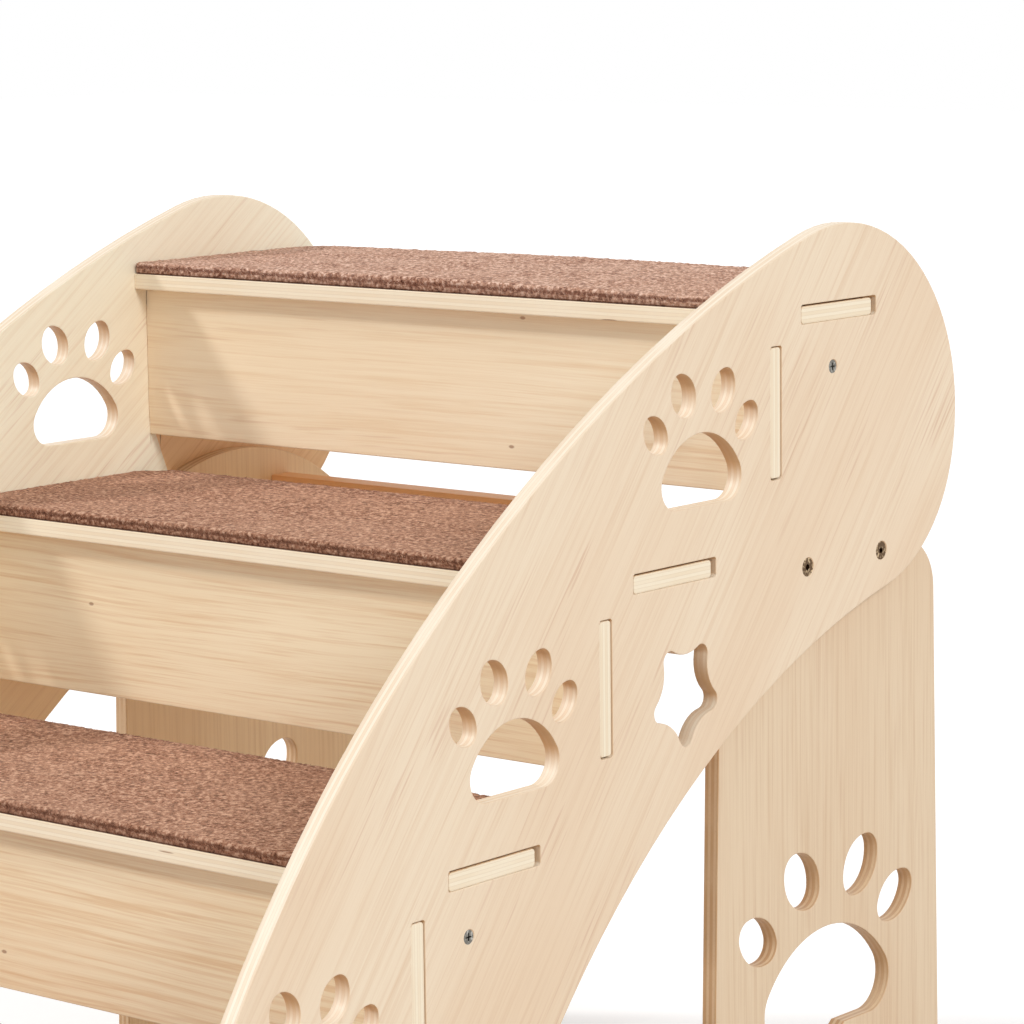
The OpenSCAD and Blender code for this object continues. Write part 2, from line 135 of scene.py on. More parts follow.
# Carpets
BACKING_T = 1.1 * MM
BACKING_INSET = 0.4 * MM
PILE_LIFT = 1.4 * MM
PILE_STEP = 2.2 * MM
PILE_ROUND = 2.4 * MM
PILE_END_STEPS = (0.0, 0.15, 0.5)
PILE_WALL_ROWS = (0.45, 1.0)
PILE_ROUGHNESS = 0.75 * MM
PILE_COARSE = 2.6 * MM
PILE_FINE = 1.3 * MM
PILE_FINE_SHARE = 0.5
TOP_SWELL = 1.6 * MM
LOW_SWELL = 0.7 * MM
CARPET_CORNER_R = 3 * MM
CARPET_CORNER_CUTS = 6
CARPET_REAR_CUT = 23.7 * MM

# The dark seam round a carpet, by the height over its underside, and how dark the side is
SEAM_RISE = (4.8 * MM, 6.0 * MM)
SEAM_FALL = (8.6 * MM, 7.0 * MM)
SEAM_WANDER = 2.4 * MM
SEAM_DARK = 0.65
SIDE_DARK = 0.12
SIDE_TURN = (0.7, 0.2)

# The carpets' tufts and yarn: painted shade between the tufts and painted highlight on their tips
TUFT_SHADOW = (0.36, 0.5)
TUFT_TIP = (0.5, 0.64)
YARN_SHARE = 0.45
WORN_SHARE = 0.18

# Metal: how much rougher it is where the plating is rubbed
RUB_ROUGHNESS = 0.2

# Loose yarn ends
STRAND_SEED = 40
STRAND_SIDES = 3
STRAND_LEN = 3.6 * MM
STRAND_LEN_SHARES = (0.6, 1.0)
STRAND_W = 0.75 * MM
STRAND_LEAN = 0.55
STRANDS_PER_MM2 = 0.03
EDGE_STRANDS_PER_MM = 2.2
EDGE_STRAND_INSET = 1.2 * MM
EDGE_BAND = 1.5 * MM
EDGE_LEAN_Y = 0.8
EDGE_LEAN_X = 0.5
EDGE_ROOT_SHARES = (0.3, 0.95)
FRONT_CORNER_SHARE = 0.4
ROOT_DEPTH = 2.6 * MM


class Pattern(NamedTuple):
    """A noise: its scale to the metre in three ways, and the levels between which it fades in."""

    scale: tuple
    detail: float = 2.0
    roughness: float = 0.5
    low: float = 0.0
    high: float = 1.0


# Patterns of a wood face, along the grain, across it, and from one seed to the next
BEND = Pattern((1.6, 6.0, 1.0))
UNEVEN = Pattern((1.1, 30.0, 1.0), low=0.36, high=0.66)
LINES = Pattern((6.0, 300.0, 1.0), detail=4.0, roughness=0.65, low=0.45, high=0.72)
FIBRES = Pattern((14.0, 1300.0, 1.0), roughness=0.6, low=0.45, high=0.72)
CLOUDS = Pattern((2.4, 7.0, 1.0), low=0.3, high=0.7)
STREAKS = Pattern((14.0, 380.0, 3.0), detail=1.0, low=0.56, high=0.7)
PATCHES = Pattern((6.0, 22.0, 5.0), detail=1.0, low=0.45, high=0.66)

# Patterns of a cut edge
WANDER = Pattern((22.0, 22.0, 22.0))
END_GRAIN = Pattern((500.0, 500.0, 500.0), detail=3.0, roughness=0.7, low=0.45, high=0.75)
BLOTCH = Pattern((14.0, 14.0, 14.0), detail=3.0, low=0.25, high=0.6)

# Patterns of the carpets and the metal
TUFTS = Pattern((330.0, 330.0, 330.0), detail=3.0, roughness=0.6)
YARNS = Pattern((900.0, 900.0, 900.0), detail=1.0, low=0.52, high=0.75)
WORN = Pattern((16.0, 22.0, 16.0), low=0.35, high=0.7)
SEAM = Pattern((160.0, 160.0, 0.0))
RUB = Pattern((430.0, 430.0, 430.0), roughness=0.6, low=0.48, high=0.72)


def srgb(red, green, blue):
    """The linear colour of a screen colour from 0 to 255."""

    def linear(value):
        share = value / 255
        return share / 12.92 if share <= 0.04045 else ((share + 0.055) / 1.055) ** 2.4

    return (linear(red), linear(green), linear(blue), 1.0)


# What every wood starts from. Rings are to the metre, bend is in metres, a share is from 0 to 1.
WOOD_LOOK = {
    "pale": srgb(243, 223, 196),
    "warm": srgb(237, 211, 181),
    "line": srgb(224, 192, 159),
    "streak": srgb(208, 164, 134),
    "knot": srgb(150, 105, 75),
    "edge_pale": srgb(243, 228, 206),
    "edge_dark": srgb(234, 212, 184),
    "glue": srgb(178, 128, 92),
    "painted_edge_shade": srgb(208, 160, 108),
    "rings": 95.0,
    "bend": 0.012,
    "line_share": 0.52,
    "ring_share": 0.26,
    "fibre_share": 0.2,
    "streak_share": 0.4,
    "knot_share": 0.0,
    "gap_share": 0.0,
    "glue_share": 0.2,
    "painted_edge_shade_share": 0.85,
}
# The inner face of an upright is tinted, by one tint over the steps and another under them: on a side
# panel, painted light over the steps, where the fill light is blocked, and painted warm shade under
# them
PANEL_LOOK = WOOD_LOOK | {
    "painted_light_over_steps": (1.11, 1.29, 1.4, 1.0),
    "painted_shade_under_steps": (1.11, 0.92, 0.68, 1.0),
}
LEG_LOOK = WOOD_LOOK | {
    "pale": srgb(232, 208, 177),
    "warm": srgb(227, 199, 166),
    "line": srgb(206, 170, 133),
    "streak": srgb(198, 154, 120),
    "edge_pale": srgb(238, 210, 174),
    "edge_dark": srgb(214, 174, 134),
    "glue": srgb(170, 122, 86),
    "rings": 180.0,
    "bend": 0.004,
    "line_share": 0.44,
    "ring_share": 0.14,
    "streak_share": 0.18,
    "painted_edge_shade_share": 0.6,
    # The legs' inner faces get painted warm bounce light, the same over and under the steps
    "painted_light_over_steps": (1.2, 1.1, 0.92, 1.0),
    "painted_shade_under_steps": (1.2, 1.1, 0.92, 1.0),
}
BOARD_LOOK = WOOD_LOOK | {
    "pale": srgb(253, 236, 207),
    "warm": srgb(250, 229, 196),
    "line": srgb(233, 199, 156),
    "streak": srgb(222, 182, 142),
    "edge_pale": srgb(249, 234, 208),
    "edge_dark": srgb(243, 224, 194),
    "rings": 130.0,
    "bend": 0.03,
    "line_share": 0.5,
    "ring_share": 0.22,
    "streak_share": 0.35,
    "knot_share": 0.7,
    "painted_edge_shade_share": 0.0,
}
# The lower steps' boards: darker and warmer than the top one's, as painted shade, with stronger grain
# lines of their own
SHADED_BOARD_LOOK = BOARD_LOOK | {
    "pale": srgb(249, 230, 197),
    "warm": srgb(245, 221, 184),
    "line": srgb(222, 180, 132),
    "line_share": 0.6,
}
# The bars' softwood, paler and more orange than its own colour: painted warm bounce light, as the bars
# stand in shade
BAR_LOOK = BOARD_LOOK | {
    "pale": srgb(255, 216, 168),
    "warm": srgb(255, 204, 152),
    "line": srgb(242, 170, 118),
    "bend": 0.02,
}

# Each upright board's node, the steepness of its grain in degrees, a seed and its look
UPRIGHTS = (
    ("side_panel_right", 52.0, 1.3, PANEL_LOOK),
    ("side_panel_left", 37.0, 2.3, PANEL_LOOK),
    ("leg_right", 90.0, 7.1, LEG_LOOK),
    ("leg_left", 90.0, 8.1, LEG_LOOK),
)

# Each carpet material's dark, middle and pale brown. The lower carpets' browns are darker than the top
# one's: painted shade
TOP_BROWNS = (srgb(112, 70, 54), srgb(182, 135, 111), srgb(236, 201, 180))
SHADED_BROWNS = (srgb(98, 59, 42), srgb(160, 112, 87), srgb(210, 169, 143))
BACKING_BROWNS = (srgb(70, 46, 38), srgb(98, 68, 56), srgb(120, 88, 74))
SHEEN = srgb(232, 196, 176)

# Each fastener's node, its material, its plating, the paler metal where that is rubbed, which also
# serves as painted highlights, and a roughness
FASTENERS = (
    ("leg_bolts", "bronze", srgb(98, 76, 54), srgb(214, 188, 150), 0.18),
    ("tie_screws", "zinc", srgb(120, 117, 110), srgb(194, 191, 184), 0.2),
    ("insert_nuts", "brass", srgb(190, 158, 96), srgb(214, 186, 128), 0.35),
)


class Shader:
    """Adds and links the nodes of one material or world."""

    # The colour sockets of a mix node, which has sockets of the same names for other kinds
    MIX_FIRST = 6
    MIX_SECOND = 7
    MIX_RESULT = 2

    def __init__(self, owner):
        owner.use_nodes = True
        self.owner = owner
        self.tree = owner.node_tree
        self.tree.nodes.clear()

    def add(self, kind, inputs=None, **settings):
        """A new node. An input is either another node's output or a value."""
        node = self.tree.nodes.new(kind)
        for key, value in settings.items():
            setattr(node, key, value)
        for key, value in (inputs or {}).items():
            socket = node.inputs[key]
            if isinstance(value, bpy.types.NodeSocket):
                self.tree.links.new(value, socket)
            else:
                socket.default_value = value
        return node

    def value(self, operation, first, second=0.0, third=0.0):
        inputs = {0: first, 1: second, 2: third}
        return self.add("ShaderNodeMath", inputs, operation=operation).outputs[0]

    def times(self, first, second):
        return self.value("MULTIPLY", first, second)

    def coords(self):
        """The place on the object, in metres."""
        return self.add("ShaderNodeTexCoord").outputs["Object"]

    def dot(self, vector, axis):
        inputs = {0: vector, 1: axis}
        return self.add("ShaderNodeVectorMath", inputs, operation="DOT_PRODUCT").outputs["Value"]

    def combine(self, x, y, z):
        return self.add("ShaderNodeCombineXYZ", {"X": x, "Y": y, "Z": z}).outputs[0]

    def noise(self, vector, pattern):
        """The pattern's noise at a place, mostly near 0.5."""
        inputs = {0: vector, 1: pattern.scale}
        stretched = self.add("ShaderNodeVectorMath", inputs, operation="MULTIPLY")
        inputs = {
            "Vector": stretched.outputs["Vector"],
            "Scale": 1.0,
            "Detail": pattern.detail,
            "Roughness": pattern.roughness,
        }
        return self.add("ShaderNodeTexNoise", inputs).outputs["Fac"]

    def between(self, value, low, high):
        """0 below low, 1 above high, and a smooth step between them. High may be the smaller."""
        inputs = {"Value": value, "From Min": low, "From Max": high}
        return self.add("ShaderNodeMapRange", inputs, interpolation_type="SMOOTHSTEP").outputs[0]

    def fade(self, level, pattern):
        """How far a noise of this pattern has faded in, from 0 to 1."""
        return self.between(level, pattern.low, pattern.high)

    def pattern(self, vector, pattern):
        """The pattern at a place, from 0 to 1."""
        return self.fade(self.noise(vector, pattern), pattern)

    def mix(self, share, first, second, blend="MIX"):
        inputs = {"Factor": share, self.MIX_FIRST: first, self.MIX_SECOND: second}
        node = self.add("ShaderNodeMix", inputs, data_type="RGBA", blend_type=blend)
        return node.outputs[self.MIX_RESULT]

    def specks(self, u, v, size):
        """1 within size of scattered points, one to each unit of u and v, and 0 elsewhere."""
        inputs = {"Vector": self.combine(u, v, 0.0), "Scale": 1.0, "Randomness": 1.0}
        cells = self.add("ShaderNodeTexVoronoi", inputs, voronoi_dimensions="2D")
        return self.between(cells.outputs["Distance"], size, size / 2)

    def bump(self, height, distance, strength):
        inputs = {"Height": height, "Distance": distance, "Strength": strength}
        return self.add("ShaderNodeBump", inputs).outputs[0]

    def is_seen(self):
        """1 for a ray from the camera, a mirror or glass, and 0 for the light that falls on things."""
        ray = self.add("ShaderNodeLightPath").outputs
        seen = self.value("MAXIMUM", ray["Is Camera Ray"], ray["Is Glossy Ray"])
        return self.value("MAXIMUM", seen, ray["Is Transmission Ray"])

    def finish(self, **inputs):
        """Ends the material with a surface. An input's name has _ in place of each space."""
        named = {key.replace("_", " "): value for key, value in inputs.items()}
        surface = self.add("ShaderNodeBsdfPrincipled", named)
        self.add("ShaderNodeOutputMaterial", {"Surface": surface.outputs[0]})
        return self.owner


def new_shader(name):
    return Shader(bpy.data.materials.new(name))


def late_wood(shade, bent_place, bent, rings):
    """1 at the dark side of each growth ring, in the places where the rings show, and 0 elsewhere."""
    turn = shade.value("FRACT", shade.times(bent, rings))
    ring = shade.times(shade.between(turn, *RING_RISE), shade.between(turn, *RING_FALL))
    return shade.times(ring, shade.pattern(bent_place, UNEVEN))


def knots(shade, along, across, seed):
    """1 at small knots scattered over a face, and 0 elsewhere."""
    along_seed, across_seed = KNOT_SEEDS
    u = shade.value("MULTIPLY_ADD", along, KNOTS_ALONG, shade.times(seed, along_seed))
    v = shade.value("MULTIPLY_ADD", across, KNOTS_ACROSS, shade.times(seed, across_seed))
    return shade.specks(u, v, KNOT_SIZE)


def veneer(shade, along, across, seed, look):
    """The colour and height of a wood face, from places along and across its grain, in metres."""
    place = shade.combine(along, across, seed)
    bent = shade.value("MULTIPLY_ADD", shade.noise(place, BEND), look["bend"], across)
    bent_place = shade.combine(along, bent, seed)
    rings = late_wood(shade, bent_place, bent, look["rings"])
    fibres = shade.noise(bent_place, FIBRES)
    streaks = shade.times(shade.pattern(bent_place, STREAKS), shade.pattern(place, PATCHES))
    layers = (
        (shade.pattern(bent_place, LINES), "line_share", "line"),
        (rings, "ring_share", "line"),
        (shade.fade(fibres, FIBRES), "fibre_share", "line"),
        (streaks, "streak_share", "streak"),
        (knots(shade, along, across, seed), "knot_share", "knot"),
    )
    colour = shade.mix(shade.pattern(place, CLOUDS), look["pale"], look["warm"])
    for amount, share, tone in layers:
        colour = shade.mix(shade.times(amount, look[share]), colour, look[tone])
    height = shade.value("MULTIPLY_ADD", rings, LATE_WOOD_HEIGHT, fibres)
    return colour, height


def edge_gaps(shade, place):
    """1 at small dark gaps scattered over a cut edge, and 0 elsewhere."""
    up = shade.times(shade.dot(place, Z_AXIS), GAPS_UP)
    return shade.specks(shade.dot(place, GAPS_LEVEL), up, GAP_SIZE)


def ply_edge(shade, place, depth, look):
    """The colour and height of a cut edge: layers whose grain runs by turns along and across."""
    level = shade.value("DIVIDE", depth, PLY_T)
    level = shade.value("MULTIPLY_ADD", shade.noise(place, WANDER), LAYER_WANDER, level)
    turn = shade.value("PINGPONG", shade.times(level, float(PLY_LAYERS)), 1.0)
    cross_layers = shade.times(shade.between(turn, *LAYER_TURN), shade.pattern(place, BLOTCH))
    glue = shade.times(shade.between(turn, *GLUE_RISE), shade.between(turn, *GLUE_FALL))
    ends = shade.noise(place, END_GRAIN)
    layers = (
        (glue, look["glue_share"], "glue"),
        (shade.fade(ends, END_GRAIN), END_GRAIN_SHARE, "edge_dark"),
        (edge_gaps(shade, place), look["gap_share"], "knot"),
    )
    colour = shade.mix(cross_layers, look["edge_pale"], look["edge_dark"])
    for amount, share, tone in layers:
        colour = shade.mix(shade.times(amount, share), colour, look[tone])
    return colour, ends


def under_steps(shade, place):
    """1 at places behind the risers and below the treads, where the painted shade under the steps
    goes, and 0 above the stairs.
    """
    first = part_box("riser_1")[0]
    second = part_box("riser_2")[0]
    run = second.y - first.y
    rise = second.z - first.z
    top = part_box("tread_1")[1].z
    height = shade.dot(place, Z_AXIS)
    over_tread = shade.value("WRAP", shade.value("SUBTRACT", height, top), rise, 0.0)
    in_gap = shade.value("SUBTRACT", second.z - top, over_tread)
    lean = shade.times(shade.value("MAXIMUM", in_gap, 0.0), GAP_SHADE_LEAN)
    behind = shade.value("SUBTRACT", shade.dot(place, Y_AXIS), first.y + PLY_T / 2)
    behind = shade.value("SUBTRACT", behind, lean)
    step = shade.value("FLOOR", shade.value("DIVIDE", behind, run))
    first_limit = top - PLY_T / 2
    limit = shade.value("MULTIPLY_ADD", step, rise, first_limit)
    limit = shade.value("MINIMUM", limit, first_limit + (len(STEPS) - 1) * rise)
    return shade.value("LESS_THAN", height, limit)


def paint_light_on_inner_face(shade, place, far_side, low, colour, look):
    """The face's colour, with painted light and shade tinted on the side of an upright that looks at
    the steps.
    """
    inner = far_side if low < 0 else shade.value("SUBTRACT", 1.0, far_side)
    below = under_steps(shade, place)
    tint = shade.mix(below, look["painted_light_over_steps"], look["painted_shade_under_steps"])
    return shade.mix(inner, colour, tint, "MULTIPLY")


def shade_edge_by_facing(shade, normal, colour, look):
    """The edge's colour with painted shade: browned the more, the more it faces down and back."""
    share = shade.between(shade.dot(normal, SHADE_EDGE_WAY), *SHADE_EDGE_TURN)
    return shade.mix(shade.times(share, look["painted_edge_shade_share"]), colour, look["painted_edge_shade"])


def plywood(name, low, through, grain, seed, look):
    """Plywood from low along the unit vector through, with its face grain along grain."""
    shade = new_shader(name)
    place = shade.coords()
    normal = shade.add("ShaderNodeNewGeometry").outputs["Normal"]
    along = shade.dot(place, grain)
    across = shade.dot(place, Vector(through).cross(Vector(grain)))
    depth = shade.value("SUBTRACT", shade.dot(place, through), low)
    far_side = shade.value("GREATER_THAN", depth, PLY_T / 2)
    face_seed = shade.value("MULTIPLY_ADD", far_side, FAR_SIDE_SEED, seed)

    face, face_height = veneer(shade, along, across, face_seed, look)
    if "painted_light_over_steps" in look:
        face = paint_light_on_inner_face(shade, place, far_side, low, face, look)
    edge, edge_height = ply_edge(shade, place, depth, look)
    edge = shade_edge_by_facing(shade, normal, edge, look)

    facing = shade.value("ABSOLUTE", shade.dot(normal, through))
    on_face = shade.between(facing, *FACE_TURN)
    on_edge = shade.value("SUBTRACT", 1.0, on_face)
    height = shade.times(edge_height, on_edge)
    height = shade.value("MULTIPLY_ADD", face_height, on_face, height)
    roughness = shade.value(
        "MULTIPLY_ADD", face_height, PLY_ROUGHNESS_BY_HEIGHT, PLY_ROUGHNESS
    )
    return shade.finish(
        Base_Color=shade.mix(on_face, edge, face),
        Roughness=roughness,
        Specular_IOR_Level=0.35,
        Normal=shade.bump(height, distance=0.12 * MM, strength=0.35),
    )


def solid_wood(name, grain, through, seed, look):
    """A plain softwood bar whose grain runs along it."""
    shade = new_shader(name)
    place = shade.coords()
    across = shade.dot(place, Vector(through).cross(Vector(grain)))
    across = shade.value("ADD", across, shade.dot(place, through))
    colour, height = veneer(shade, shade.dot(place, grain), across, seed, look)
    return shade.finish(
        Base_Color=colour,
        Roughness=0.5,
        Specular_IOR_Level=0.3,
        Normal=shade.bump(height, distance=0.15 * MM, strength=0.4),
    )


def side_shade(shade, place, side):
    """How dark the pile's side is: a dark seam halfway up, and a little shade all over."""
    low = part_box("carpet_1")[0].z
    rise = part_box("carpet_2")[0].z - low
    up = shade.value("SUBTRACT", shade.dot(place, Z_AXIS), low)
    up = shade.value("WRAP", up, rise, 0.0)
    up = shade.value("MULTIPLY_ADD", shade.noise(place, SEAM), SEAM_WANDER, up)
    seam = shade.times(shade.between(up, *SEAM_RISE), shade.between(up, *SEAM_FALL))
    return shade.times(side, shade.value("MULTIPLY_ADD", seam, SEAM_DARK, SIDE_DARK))


def carpet_material(name, browns, side_share):
    """Short pile of twisted yarn in three browns, with painted shade between its tufts, painted
    highlight on their tips, and darker down its sides.
    """
    dark, brown, pale = browns
    shade = new_shader(name)
    place = shade.coords()
    tufts = shade.noise(place, TUFTS)
    yarns = shade.noise(place, YARNS)
    colour = shade.mix(shade.between(tufts, *TUFT_SHADOW), dark, brown)
    colour = shade.mix(shade.between(tufts, *TUFT_TIP), colour, pale)
    colour = shade.mix(shade.times(shade.fade(yarns, YARNS), YARN_SHARE), colour, pale)
    colour = shade.mix(shade.times(shade.pattern(place, WORN), WORN_SHARE), colour, pale)
    normal = shade.add("ShaderNodeNewGeometry").outputs["True Normal"]
    upward = shade.value("ABSOLUTE", shade.dot(normal, Z_AXIS))
    side = shade.times(shade.between(upward, *SIDE_TURN), side_share)
    height = shade.value("ADD", tufts, yarns)
    return shade.finish(
        Base_Color=shade.mix(side_shade(shade, place, side), colour, dark),
        Roughness=0.95,
        Specular_IOR_Level=0.1,
        Sheen_Weight=0.25,
        Sheen_Roughness=0.5,
        Sheen_Tint=SHEEN,
        Normal=shade.bump(height, distance=0.9 * MM, strength=0.8),
    )


def metal(name, plating, rubbed_and_highlight, roughness):
    """Plated steel, with its plating rubbed a little; the paler rubbed patches also serve as painted
    highlights.
    """
    shade = new_shader(name)
    rub = shade.noise(shade.coords(), RUB)
    return shade.finish(
        Base_Color=shade.mix(shade.fade(rub, RUB), plating, rubbed_and_highlight),
        Metallic=1.0,
        Roughness=shade.value("MULTIPLY_ADD", rub, RUB_ROUGHNESS, roughness),
        Normal=shade.bump(rub, distance=0.04 * MM, strength=0.3),
    )


def put_on(node, material):
    """Gives a CAD node its material."""
    slots = node.material_slots
    for slot in slots:
        slot.link = "OBJECT"
        slot.material = material
    if not slots:
        node.data.materials.append(material)


def soften(node):
    """Rounds a CAD node's sharp edges with modifiers alone."""
    weld = node.modifiers.new("weld", "WELD")
    weld.merge_threshold = SAME_PLACE
    merge = node.modifiers.new("faces", "DECIMATE")
    merge.decimate_type = "DISSOLVE"
    merge.angle_limit = math.radians(SAME_FACE_ANGLE)
    bevel = node.modifiers.new("rounding", "BEVEL")
    bevel.width = EDGE_ROUND
    bevel.segments = EDGE_ROUND_CUTS
    bevel.limit_method = "ANGLE"
    bevel.angle_limit = math.radians(EDGE_ANGLE)
    bevel.use_clamp_overlap = False
    bevel.loop_slide = False


def dress_uprights(nodes):
    """Gives the side panels and the legs their plywood."""
    for name, angle, seed, look in UPRIGHTS:
        grain = (0.0, math.cos(math.radians(angle)), math.sin(math.radians(angle)))
        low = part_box(name)[0].x
        put_on(nodes[name], plywood(name, low, X_AXIS, grain, seed, look))


def dress_steps(nodes):
    """Gives the treads and the risers their plywood; the lower steps' look is darker and warmer, as
    painted shade.
    """
    for step in STEPS:
        look = BOARD_LOOK if step == STEPS[-1] else SHADED_BOARD_LOOK
        tread = f"tread_{step}"
        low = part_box(tread)[0].z
        tread_look = look | {"gap_share": TREAD_GAP_SHARE}
        put_on(nodes[tread], plywood(tread, low, Z_AXIS, X_AXIS, TREAD_SEED + step, tread_look))
        riser = f"riser_{step}"
        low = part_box(riser)[0].y
        put_on(nodes[riser], plywood(riser, low, Y_AXIS, X_AXIS, RISER_SEED + step, look))


def dress_bars(nodes):
    """Gives the rails and the tie bars their softwood."""
    for number, name in enumerate(BARS):
        put_on(nodes[name], solid_wood(name, X_AXIS, Z_AXIS, BAR_SEED + number, BAR_LOOK))


def dress_fasteners(nodes):
    """Gives the bolts, the screws and the insert nuts their metal."""
    for name, material, plating, rubbed_and_highlight, roughness in FASTENERS:
        put_on(nodes[name], metal(material, plating, rubbed_and_highlight, roughness))


def add_mesh(name, vertices, faces):
    mesh = bpy.data.meshes.new(name)
    mesh.from_pydata(vertices, [], faces)
    mesh.update()
    piece = bpy.data.objects.new(name, mesh)
    bpy.context.scene.collection.objects.link(piece)
    return piece


def smooth(piece):
    piece.data.polygons.foreach_set("use_smooth", [True] * len(piece.data.polygons))
    return piece


class Carpet:
    """One step's carpet: its box, with the top raised by the pile's lift, and its sizes."""

    def __init__(self, step):
        low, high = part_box(f"carpet_{step}")
        self.step = step
        self.is_top = step == STEPS[-1]
        self.low = low
        self.high = high + Vector((0, 0, PILE_LIFT))
        self.half = (high.x - low.x) / 2
        self.middle = (high.x + low.x) / 2
        self.depth = high.y - low.y
        self.swell = TOP_SWELL if self.is_top else LOW_SWELL


def half_width(y, half, depth):
    """Half the carpet's width at y behind its front edge: round front corners, cut rear ones."""
    if y < CARPET_CORNER_R:
        rest = CARPET_CORNER_R - y
        return half - CARPET_CORNER_R + math.sqrt(max(CARPET_CORNER_R**2 - rest**2, 0))
    return min(half, half - CARPET_REAR_CUT + depth - y)


def ticks(length):
    """Places from 0 to length, closer together where the pile rounds off at both ends."""
    ends = [PILE_ROUND * share for share in PILE_END_STEPS]
    count = max(int((length - 2 * PILE_ROUND) / PILE_STEP), 1)
    middle = np.linspace(PILE_ROUND, length - PILE_ROUND, count + 1)
    return np.concatenate([ends, middle, [length - end for end in reversed(ends)]])


def carpet_rows(carpet):
    """The carpet's top seen as a grid: an array of rows, each of points (x, y)."""
    shares = ticks(2 * carpet.half) / carpet.half - 1
    rows = []
    for y in ticks(carpet.depth):
        width = half_width(y, carpet.half, carpet.depth)
        rows.append([(carpet.middle + share * width, carpet.low.y + y) for share in shares])
    return np.array(rows)


def border_distance(carpet, rows):
    """How far each grid point lies inside the carpet's edge, about."""
    y = rows[:, :, 1] - carpet.low.y
    widths = np.array([half_width(value, carpet.half, carpet.depth) for value in y[:, 0]])
    side = widths[:, None] - np.abs(rows[:, :, 0] - carpet.middle)
    return np.minimum(np.minimum(side, y), carpet.depth - y)


def pile_tops(carpet, rows):
    """The smooth height of the pile over each grid point: it rounds off at the carpet's edge."""
    dip = PILE_ROUND - np.clip(border_distance(carpet, rows), 0, PILE_ROUND)
    fall = PILE_ROUND - np.sqrt(PILE_ROUND**2 - dip**2)
    span = (rows[:, :, 0] - carpet.low.x) / (carpet.high.x - carpet.low.x)
    return carpet.high.z - fall + carpet.swell * np.sin(math.pi * span) ** 2


def pile_roughness(x, y, step):
    """How far the tufts stand up or down at a place. Each step has its own tufts."""
    coarse = noise.noise(Vector((x, y, step)) / PILE_COARSE)
    fine = noise.noise(Vector((x, y, step)) / PILE_FINE)
    return PILE_ROUGHNESS * (coarse + PILE_FINE_SHARE * fine)


def pile_grid(carpet):
    """The vertices of the pile's top, row by row, with the number of rows and their length."""
    rows = carpet_rows(carpet)
    tops = pile_tops(carpet, rows)
    vertices = []
    for row, heights in zip(rows, tops):
        for (x, y), top in zip(row, heights):
            vertices.append((x, y, top + pile_roughness(x, y, carpet.step)))
    return vertices, len(rows), len(rows[0])


def grid_faces(row_count, length):
    """The faces between rows of vertices that each have this length."""
    faces = []
    for row in range(row_count - 1):
        for place in range(length - 1):
            first = row * length + place
            faces.append((first, first + 1, first + length + 1, first + length))
    return faces


def grid_border(row_count, length):
    """The outer vertices of such rows, in order all the way round."""
    last_row = (row_count - 1) * length
    border = list(range(length))
    border += [row * length + length - 1 for row in range(1, row_count)]
    border += [last_row + place for place in range(length - 2, -1, -1)]
    border += [row * length for row in range(row_count - 2, 0, -1)]
    return border


def carpet_pile(carpet):
    """The pile: a closed slab with a rounded top edge and a rough, tufted surface."""
    vertices, row_count, length = pile_grid(carpet)
    faces = grid_faces(row_count, length)
    border = grid_border(row_count, length)
    floor = carpet.low.z + BACKING_T
    above = border
    for share in PILE_WALL_ROWS:
        below = []
        for corner in border:
            x, y, z = vertices[corner]
            below.append(len(vertices))
            vertices.append((x, y, z + (floor - z) * share))
        for k in range(len(border)):
            after = (k + 1) % len(border)
            faces.append((above[after], above[k], below[k], below[after]))
        above = below
    faces.append(tuple(reversed(above)))
    return add_mesh(f"pile_{carpet.step}", vertices, faces)


def backing_outline(carpet):
    """The corners of the backing, which is a little smaller than the carpet, in order."""
    half = carpet.half - BACKING_INSET
    depth = carpet.depth - 2 * BACKING_INSET
    front = carpet.low.y + BACKING_INSET
    turns = [math.pi / 2 * k / CARPET_CORNER_CUTS for k in range(CARPET_CORNER_CUTS + 1)]
    places = [CARPET_CORNER_R * (1 - math.cos(turn)) for turn in turns]
    places += [depth - CARPET_REAR_CUT, depth]
    widths = [half_width(y, half, depth) for y in places]
    right = [(carpet.middle + width, front + y) for width, y in zip(widths, places)]
    left = [(carpet.middle - width, front + y) for width, y in zip(widths, places)]
    return right + left[::-1]


def carpet_backing(carpet):
    """The thin woven backing under the pile."""
    outline = backing_outline(carpet)
    count = len(outline)
    vertices = [(x, y, carpet.low.z) for x, y in outline]
    vertices += [(x, y, carpet.low.z + BACKING_T) for x, y in outline]
    faces = [tuple(reversed(range(count))), tuple(range(count, 2 * count))]
    for k in range(count):
        after = (k + 1) % count
        faces.append((k, after, count + after, count + k))
    return add_mesh(f"backing_{carpet.step}", vertices, faces)


def strand_mesh(name, roots, tips):
    """One tapered three-sided strand from each root to its tip."""
    count = len(roots)
    rng = np.random.default_rng(len(name) + count)
    turn = rng.uniform(0, 2 * math.pi, count)
    along = tips - roots
    side = np.stack([np.cos(turn), np.sin(turn), np.zeros(count)], axis=1)
    other = np.cross(along, side)
    other /= np.linalg.norm(other, axis=1)[:, None]
    side = np.cross(other, along)
    side /= np.linalg.norm(side, axis=1)[:, None]
    points = []
    for k in range(STRAND_SIDES):
        angle = 2 * math.pi * k / STRAND_SIDES
        points.append(roots + STRAND_W / 2 * (math.cos(angle) * side + math.sin(angle) * other))
    points.append(tips)
    vertices = np.stack(points, axis=1).reshape(-1, 3)
    first = len(points) * np.arange(count)[:, None]
    sides = [[k, (k + 1) % STRAND_SIDES, STRAND_SIDES] for k in range(STRAND_SIDES)]
    faces = np.concatenate([first + np.array([side_corners]) for side_corners in sides])
    return add_mesh(name, vertices.tolist(), faces.tolist())


